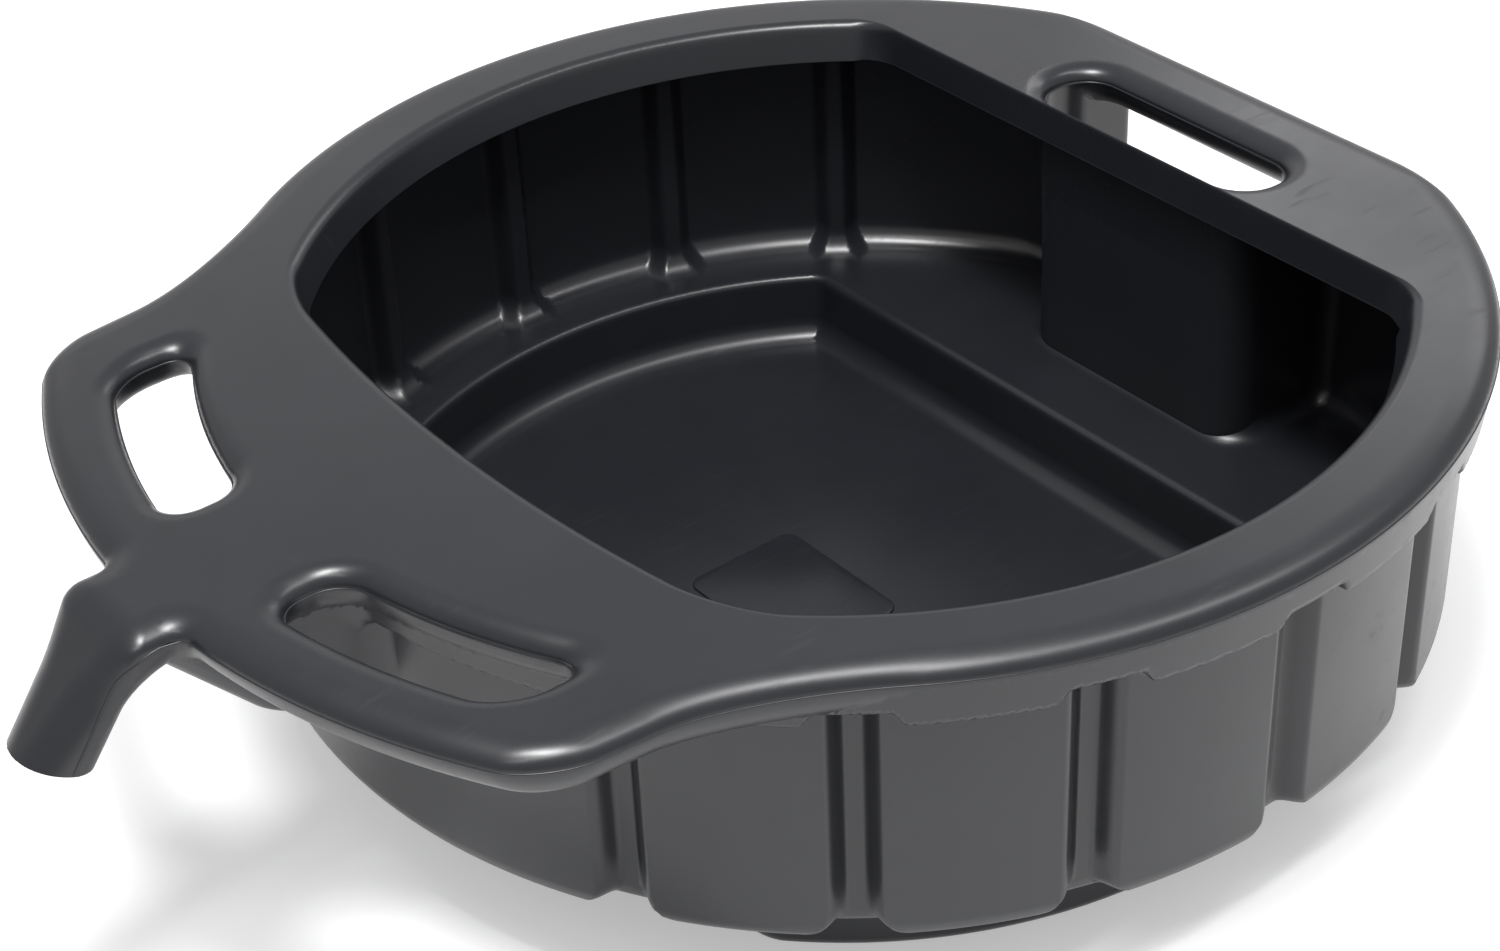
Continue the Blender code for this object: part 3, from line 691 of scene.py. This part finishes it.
def dress(item: bpy.types.Object, material: bpy.types.Material, *nodes: str) -> bpy.types.Object:
    """Give a finished piece its material and body, and hide the frame nodes it stands for."""
    item.data.materials.clear()
    item.data.materials.append(material)
    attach(item, "root")
    if nodes:
        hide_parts(*nodes)
    LOG.info("%s: %d faces, stands for %s", item.name, len(item.data.polygons), ", ".join(nodes) or "no node")
    return item


def both(pattern: str) -> list[str]:
    """Name a left and a right node."""
    return [pattern.format(side) for side in ("left", "right")]


@dataclass
class Moulding:
    """The moulded skin, parted into named pieces."""

    form: PanForm
    pitch: float = 2.0 * MM
    finish: Polyethylene = Polyethylene("moulded_polyethylene")

    def build(self) -> None:
        """Mesh the outside and the inside and hand out their faces."""
        material = self.finish.make()
        self._outside(material)
        self._inside(material)

    def _part(
        self, skin: Skin, plan: list[tuple[str, Array, list[str]]], material: bpy.types.Material
    ) -> None:
        """Hand the skin's faces out to pieces, the first match first."""
        free = np.ones(len(skin.faces), bool)
        for name, wanted, nodes in plan:
            mine = free & wanted
            free &= ~mine
            dress(raise_mesh(name, skin.points, skin.faces[mine], skin.normals), material, *nodes)

    def _outside(self, material: bpy.types.Material) -> None:
        """Make the outer skin and part it."""
        form, level = self.form, self.form.level
        margin = Vector((4, 4, 4)) * MM
        skin = Skin(form.outside).lay(CAD_LOW - margin * 2, CAD_HIGH + margin, self.pitch, 1.0)
        skin.trim_opening(form.opening, level.top)
        skin.trim_spout(form.cut)
        x, y, z = skin.centres().T
        radius = np.hypot(x, y)
        handles = (np.hypot(x - form.handle_centre, y) > 236.0 * MM) & (x < -150.0 * MM)
        neck = (abs(y) < 30.0 * MM) & (x < -232.0 * MM)
        side = {"left": y > 0, "right": y <= 0}
        plan = [("spout_and_channel", neck, ["spout_top", "spout_bottom"])]
        for word, here in side.items():
            plan.append((f"front_handle_{word}", handles & here & (radius > 241.0 * MM),
                         [f"front_handle_{word}_top", f"front_handle_{word}_bottom"]))
        rear = (x > 184.0 * MM) & (abs(y) < 66.0 * MM) & (z > 128.0 * MM)
        plan.append(("rear_handle", rear, ["rear_handle_top", "rear_handle_bottom"]))
        above = z > level.parting
        plan.append(("front_deck_top", above & (x < -120.0 * MM), ["front_deck"]))
        plan.append(("rear_deck_top", above & (x > 140.0 * MM), both("rear_deck_{}") + ["rear_deck_middle"]))
        plan.append(("rim", above, both("rim_{}")))
        plan.append(("skirt", z > level.parting - form.skirt_drop - 3.0 * MM,
                     both("skirt_{}") + both("skirt_front_{}") + both("skirt_rear_{}")))
        plan.append(("sump_underside", z < level.ledge_under - 3.0 * MM, ["sump_floor"]))
        fronts = both("front_wall_{}") + ["front_wall_middle"]
        plan.append(("outer_wall", np.ones(len(x), bool), fronts))
        self._part(skin, plan, material)

    def _inside(self, material: bpy.types.Material) -> None:
        """Make the inner skin and part it."""
        form, level = self.form, self.form.level
        low = Vector((-320.0, -240.0, -4.0)) * MM
        high = Vector((220.0, 240.0, 156.0)) * MM
        skin = Skin(form.inside).lay(low, high, self.pitch, -1.0)
        skin.trim_opening(form.opening, level.top - form.wall)
        x, y, z = skin.centres().T
        ledge = level.ledge_top + form.ledge_fillet
        rear = (x > 140.0 * MM) & (abs(y) < 75.0 * MM)
        walls = [f"wall_panel_{word}_{k + 1}" for word in ("left", "right") for k in range(5)]
        plan = [
            ("bowl_recess_wall", rear & (z > ledge), ["finger_recess"]),
            ("bowl_inner_wall", z > ledge, walls + both("rear_wall_{}")),
            ("sump_inside", z < 20.0 * MM, both("sump_wall_{}") + ["sump_wall_front", "sump_wall_rear"]),
            ("ledge_inside", np.ones(len(x), bool), both("ledge_{}") + ["ledge_front", "ledge_rear"]),
        ]
        self._part(skin, plan, material)


@dataclass
class OpeningLip:
    """The lip that turns down round the opening and ends in a trimmed edge."""

    form: PanForm
    count: int = 1080
    rounding: float = 5.0 * MM
    slope: float = 70.0
    reach: float = 8.6 * MM
    drop: float = 16.0 * MM
    chord_share: float = 0.15
    chord_angle: float = 46.0
    edge_rounding: float = 0.5 * MM
    finish: Polyethylene = Polyethylene("lip_polyethylene")

    def ring(self, inset: float, z: float) -> Array:
        """Follow the opening's outline at an inset, as a ring at one level."""
        angles = np.linspace(0.0, math.tau, self.count, endpoint=False)
        cos, sin = np.cos(angles), np.sin(angles)
        turned = np.degrees(abs(np.arctan2(sin, cos)))
        ease = smooth_step((turned - self.chord_angle + 3.0) / 6.0)
        share = self.chord_share + (1.0 - self.chord_share) * ease
        near, far = np.full(self.count, 0.05), np.full(self.count, 0.25)
        for _ in range(40):
            middle = (near + far) / 2
            out = self.form.opening(middle * cos, middle * sin) + inset * share > 0
            far = np.where(out, middle, far)
            near = np.where(out, near, middle)
        radius = (near + far) / 2
        return np.stack([radius * cos, radius * sin, np.full(self.count, z)], axis=1)

    def section(self) -> list[tuple[float, float]]:
        """Give the lip's (inset, drop) points from the deck round its edge and back."""
        thick = self.form.wall
        face = []
        for k in range(9):
            turn = math.radians(self.slope * k / 8)
            face.append((self.rounding * math.sin(turn), self.rounding * (1 - math.cos(turn))))
        start = face[-1]
        for k in range(1, 9):
            share = k / 8
            inset = start[0] + (self.reach - start[0]) * share
            face.append((inset, start[1] + (self.drop - start[1]) * share))
        along = math.radians(self.slope)
        back = (-math.sin(along), math.cos(along))
        thin = 2.2 * MM
        last = face[-1]
        edge = self.edge_rounding
        cut = [(last[0] + edge * 0.1 + back[0] * edge * 0.4, last[1] + edge * 0.7)]
        cut.append((last[0] + back[0] * thin * 0.5, last[1] + back[1] * thin * 0.5 + edge * 0.5))
        cut.append((last[0] + back[0] * (thin - edge * 0.3), last[1] + back[1] * thin * 0.9))
        under = [(last[0] + back[0] * thin, last[1] + back[1] * thin - edge)]
        under.append((start[0] - thick * math.sin(along), start[1] + thick * math.cos(along)))
        under.append((0.0, thick))
        return face, cut, under

    def build(self) -> None:
        """Turn the lip as a face, a cut edge and an underside."""
        material = self.finish.make()
        cut_finish = Polyethylene("trimmed_edge", (0.035, 0.036, 0.040), 0.42, 0.06, 1.0).make()
        face, cut, under = self.section()
        top = self.form.level.top
        for name, part, nodes, finish in (
            ("lip_face", face, ["front_lip", "rear_lip"], material),
            ("lip_trimmed_edge", [face[-1]] + cut + [under[0]], [], cut_finish),
            ("lip_underside", under, [], material),
        ):
            item = loft(name, [self.ring(inset, top - drop) for inset, drop in part])
            face_up(item, up=name == "lip_face")
            dress(item, finish, *nodes)


@dataclass
class SpoutMouth:
    """The spout's cut end: a rim as thick as the wall and the bore behind it."""

    form: PanForm
    count: int = 96
    length: float = 42.0 * MM
    edge: float = 0.4 * MM
    finish: Polyethylene = Polyethylene("spout_polyethylene")

    def ring(self, up: float, inset: float) -> Array:
        """Follow the spout's section at a distance up the leg.

        Args:
            up: Distance from the cut end, along the leg.
            inset: Distance inside the outer surface.

        Returns:
            A ring of points parallel to the cut.
        """
        angles = np.linspace(0.0, math.tau, self.count, endpoint=False)
        cut = self.form.cut
        middle = np.array([cut.middle[0] - up * cut.leg[0], 0.0, cut.middle[1] - up * cut.leg[1]])
        across = np.array([-cut.normal[1], 0.0, cut.normal[0]])
        way = np.cos(angles)[:, None] * np.array([0.0, 1.0, 0.0]) + np.sin(angles)[:, None] * across
        near, far = np.zeros(self.count), np.full(self.count, 45.0 * MM)
        for _ in range(40):
            half = (near + far) / 2
            out = self.form.spout(*(middle + half[:, None] * way).T) + inset > 0
            far = np.where(out, half, far)
            near = np.where(out, near, half)
        return middle + ((near + far) / 2)[:, None] * way

    def build(self) -> None:
        """Make the rim and the bore."""
        material = self.finish.make()
        wall = self.form.wall
        rim = [(0.0, 0.0), (0.0, wall - self.edge), (self.edge, wall)]
        bore = [(self.edge + (self.length - self.edge) * k / 14, wall) for k in range(15)]
        for name, part in (("spout_rim", rim), ("spout_bore", bore)):
            item = loft(name, [self.ring(up, inset) for up, inset in part])
            self._face_out(item, rim=name == "spout_rim")
            dress(item, material)

    def _face_out(self, item: bpy.types.Object, rim: bool) -> None:
        """Turn the rim's faces down the leg and the bore's faces to its middle."""
        cut = self.form.cut
        down = Vector((cut.leg[0], 0.0, cut.leg[1])).normalized()
        total = 0.0
        for poly in item.data.polygons:
            spot = poly.center - Vector((cut.middle[0], 0.0, cut.middle[1]))
            inward = -(spot - down * spot.dot(down))
            total += poly.area * poly.normal.dot(down if rim else inward.normalized())
        if total < 0:
            flip(item)


@dataclass
class PartingRidge:
    """The fine ridge where the two mould halves met."""

    form: PanForm
    radius: float = 0.45 * MM
    sink: float = 0.10 * MM
    step: float = 0.35
    finish: Polyethylene = Polyethylene("ridge_polyethylene")

    def _reach(self, start: Array, way: Array, far: float, field_of: Callable[[Array], Array]) -> Array:
        """Find where a form ends along rays from its inside."""
        near, limit = np.zeros(len(way)), np.full(len(way), far)
        for _ in range(40):
            half = (near + limit) / 2
            out = field_of(start + half[:, None] * way) > 0
            limit = np.where(out, half, limit)
            near = np.where(out, near, half)
        return start + (near - self.sink)[:, None] * way

    def outline(self) -> list[Array]:
        """Trace the ridge from the spout's tip round one side of the pan to the rear, and its mirror."""
        z = self.form.level.parting
        tip, bend = np.array([-338.6 * MM, 111.2 * MM]), np.array([-322.0 * MM, 137.0 * MM])
        neck = np.array([-304.0 * MM, z])
        leg = [tip + (bend - tip) * k / 20 for k in range(20)]
        for k in range(17):
            t = k / 16
            control = np.array([-316.0 * MM, z - 1.0 * MM])
            leg.append((1 - t) ** 2 * bend + 2 * t * (1 - t) * control + t * t * neck)
        leg = np.array(leg)
        start = np.stack([leg[:, 0], np.zeros(len(leg)), leg[:, 1]], axis=1)
        sideways = np.tile([0.0, 1.0, 0.0], (len(leg), 1))
        solid = lambda p: np.minimum(self.form.outside(*p.T), self.form.spout(*p.T))
        down = self._reach(start, sideways, 40.0 * MM, solid)
        corner = math.degrees(math.atan2(down[-1][1], down[-1][0]))
        angles = np.radians(np.arange(corner - self.step, 0.0, -self.step))
        way = np.stack([np.cos(angles), np.sin(angles), np.zeros(len(angles))], axis=1)
        flat = lambda p: self.form.plan(p[:, 0], abs(p[:, 1]))
        ring = self._reach(np.array([0.0, 0.0, z]), way, 0.345, flat)
        side = np.concatenate([down, ring])
        return [side, side * np.array([1.0, -1.0, 1.0])]

    def slot_rings(self) -> list[Array]:
        """Trace the ridge round the walls of the three hand slots."""
        z = self.form.level.parting
        middle = (self.form.level.rear_slot_inner + self.form.level.rear_slot_outer) / 2
        angles = np.radians(np.arange(0.0, 360.0, 2.0))
        way = np.stack([np.cos(angles), np.sin(angles), np.zeros(len(angles))], axis=1)
        inside = lambda p: self.form.slots(p[:, 0], abs(p[:, 1]))
        rings = []
        for x, y in ((-243.0 * MM, 78.0 * MM), (-243.0 * MM, -78.0 * MM), (middle, 0.0)):
            rings.append(self._reach(np.array([x, y, z]), way, 0.10, inside))
        return rings

    def build(self) -> None:
        """Sweep a thin bevelled curve along each trace and turn it into a mesh."""
        material = self.finish.make()
        traces = [("parting_ridge", self.outline(), False), ("slot_ridge", self.slot_rings(), True)]
        for name, lines, closed in traces:
            curve = bpy.data.curves.new(name, "CURVE")
            curve.dimensions = "3D"
            curve.bevel_depth = self.radius
            curve.bevel_resolution = 1
            curve.use_fill_caps = not closed
            for line in lines:
                spline = curve.splines.new("POLY")
                spline.points.add(len(line) - 1)
                spline.points.foreach_set("co", np.c_[line, np.ones(len(line))].ravel())
                spline.use_cyclic_u = closed
            item = bpy.data.objects.new(name, curve)
            bpy.context.scene.collection.objects.link(item)
            bpy.ops.object.select_all(action="DESELECT")
            item.select_set(True)
            bpy.context.view_layer.objects.active = item
            bpy.ops.object.convert(target="MESH")
            bpy.ops.object.shade_smooth()
            dress(bpy.context.active_object, material)


@dataclass
class FloorPad:
    """A plain shallow pad raised on the sump floor."""

    form: PanForm
    low: tuple[float, float] = (-46.0 * MM, -21.0 * MM)
    high: tuple[float, float] = (8.0 * MM, 49.0 * MM)
    rise: float = 0.9 * MM
    corner: float = 6.0 * MM
    finish: Polyethylene = Polyethylene("pad_polyethylene", roughness=0.27)

    def build(self) -> None:
        """Model the pad from a cube with rounded corners."""
        bpy.ops.object.select_all(action="DESELECT")
        thick = self.rise + 0.6 * MM
        middle = [(a + b) / 2 for a, b in zip(self.low, self.high)]
        size = (self.high[0] - self.low[0], self.high[1] - self.low[1], thick)
        bpy.ops.mesh.primitive_cube_add(size=1.0, location=(*middle, self.form.wall + self.rise - thick / 2))
        item = bpy.context.active_object
        item.name = "sump_floor_pad"
        item.scale = size
        bpy.ops.object.transform_apply(location=True, rotation=True, scale=True)
        bpy.ops.object.mode_set(mode="EDIT")
        bpy.ops.mesh.select_mode(type="EDGE")
        bpy.ops.mesh.select_all(action="DESELECT")
        shape = bmesh.from_edit_mesh(item.data)
        for edge in shape.edges:
            edge.select = abs(edge.verts[0].co.z - edge.verts[1].co.z) > thick / 2
        bmesh.update_edit_mesh(item.data)
        bpy.ops.mesh.bevel(offset=self.corner, segments=8, affect="EDGES")
        bpy.ops.mesh.select_all(action="DESELECT")
        shape = bmesh.from_edit_mesh(item.data)
        top = max(vert.co.z for vert in shape.verts)
        for edge in shape.edges:
            edge.select = min(vert.co.z for vert in edge.verts) > top - 1e-6
        bmesh.update_edit_mesh(item.data)
        bpy.ops.mesh.bevel(offset=0.5 * MM, segments=3, affect="EDGES")
        bpy.ops.object.mode_set(mode="OBJECT")
        bpy.ops.object.shade_smooth_by_angle(angle=math.radians(40.0))
        dress(item, self.finish.make())


def flip(item: bpy.types.Object) -> None:
    """Turn all faces of a piece round."""
    shape = bmesh.new()
    shape.from_mesh(item.data)
    bmesh.ops.reverse_faces(shape, faces=shape.faces[:])
    shape.to_mesh(item.data)
    shape.free()


def face_up(item: bpy.types.Object, up: bool) -> None:
    """Turn all faces so that their average looks up, or down."""
    mesh = item.data
    total = sum((poly.normal.z * poly.area for poly in mesh.polygons), 0.0)
    if (total > 0) != up:
        flip(item)


# ---------------------------------------------------------------- stage

@dataclass(frozen=True)
class Camera:
    """Camera at the wanted viewing angle."""

    target: tuple[float, float, float] = (-0.01411, 0.03798, 0.0480)
    yaw: float = 0.91602
    pitch: float = 0.60793
    roll: float = -0.04512
    distance: float = 1.14951
    lens: float = 68.74
    shift: tuple[float, float] = (-0.0073, -0.0005)

    def place(self) -> None:
        """Create the camera and make it the scene's own."""
        data = bpy.data.cameras.new("camera")
        item = bpy.data.objects.new("camera", data)
        bpy.context.scene.collection.objects.link(item)
        cos_y, sin_y = math.cos(self.yaw), math.sin(self.yaw)
        cos_p, sin_p = math.cos(self.pitch), math.sin(self.pitch)
        forward = Vector((cos_y * cos_p, sin_y * cos_p, -sin_p))
        level_right = Vector((sin_y, -cos_y, 0.0))
        level_up = level_right.cross(forward)
        right = math.cos(self.roll) * level_right + math.sin(self.roll) * level_up
        up = math.cos(self.roll) * level_up - math.sin(self.roll) * level_right
        place = Matrix((right, up, -forward)).transposed().to_4x4()
        place.translation = Vector(self.target) - forward * self.distance
        item.matrix_world = place
        data.sensor_width = 36.0
        data.lens = self.lens
        data.shift_x, data.shift_y = self.shift
        bpy.context.scene.camera = item


class Softness(Enum):
    """Width and height of a studio light's face, in metres."""

    BOX = (0.46, 0.30)
    STRIP = (1.6, 0.5)
    NARROW = (0.9, 0.25)
    TUBE = (2.2, 0.12)


@dataclass(frozen=True)
class Studio:
    """Plain pale floor, even surround and soft lights."""

    surround: float = 0.60
    floor_glow: float = 0.36

    def light(self, name: str, place: tuple, power: float, softness: Softness) -> None:
        """Hang one soft light that looks at the pan."""
        data = bpy.data.lights.new(name, "AREA")
        data.shape = "RECTANGLE"
        data.size, data.size_y = softness.value
        data.energy = power
        item = bpy.data.objects.new(name, data)
        bpy.context.scene.collection.objects.link(item)
        item.location = place
        item.rotation_mode = "QUATERNION"
        aim = Vector((0.0, 0.0, 0.08)) - Vector(place)
        item.rotation_quaternion = aim.to_track_quat("-Z", "Y")

    def build(self) -> None:
        """Lay the floor, set the surround and hang the lights."""
        bpy.ops.object.select_all(action="DESELECT")
        bpy.ops.mesh.primitive_plane_add(size=12.0, location=(0.0, 0.0, -0.0003))
        floor = bpy.context.active_object
        floor.name = "studio_floor"
        material = bpy.data.materials.new("studio_floor")
        material.use_nodes = True
        shader = material.node_tree.nodes["Principled BSDF"]
        shader.inputs["Base Color"].default_value = (0.76, 0.76, 0.76, 1.0)
        shader.inputs["Roughness"].default_value = 0.9
        shader.inputs["Emission Color"].default_value = (1.0, 1.0, 1.0, 1.0)
        shader.inputs["Emission Strength"].default_value = self.floor_glow
        floor.data.materials.append(material)
        world = bpy.data.worlds.new("surround")
        world.use_nodes = True
        background = world.node_tree.nodes["Background"]
        background.inputs["Color"].default_value = (1.0, 1.0, 1.0, 1.0)
        background.inputs["Strength"].default_value = self.surround
        bpy.context.scene.world = world
        self.light("overhead", (-0.25, -0.15, 1.6), 23.0, Softness.BOX)
        self.light("back", (0.6, 1.6, 0.9), 1.0, Softness.STRIP)
        self.light("rear_side", (1.35, 0.55, 0.90), 2.5, Softness.NARROW)
        self.light("near_tube", (0.0, -0.45, 1.5), 11.0, Softness.TUBE)
        bpy.context.scene.view_settings.view_transform = "Standard"


def main() -> None:
    """Build the pan's looks around the frame, then the stage."""
    logging.basicConfig(level=logging.INFO, format="%(message)s")
    form = PanForm(Levels.from_frame())
    Moulding(form).build()
    OpeningLip(form).build()
    SpoutMouth(form).build()
    PartingRidge(form).build()
    FloorPad(form).build()
    Studio().build()
    Camera().place()


if __name__ == "__main__":
    main()
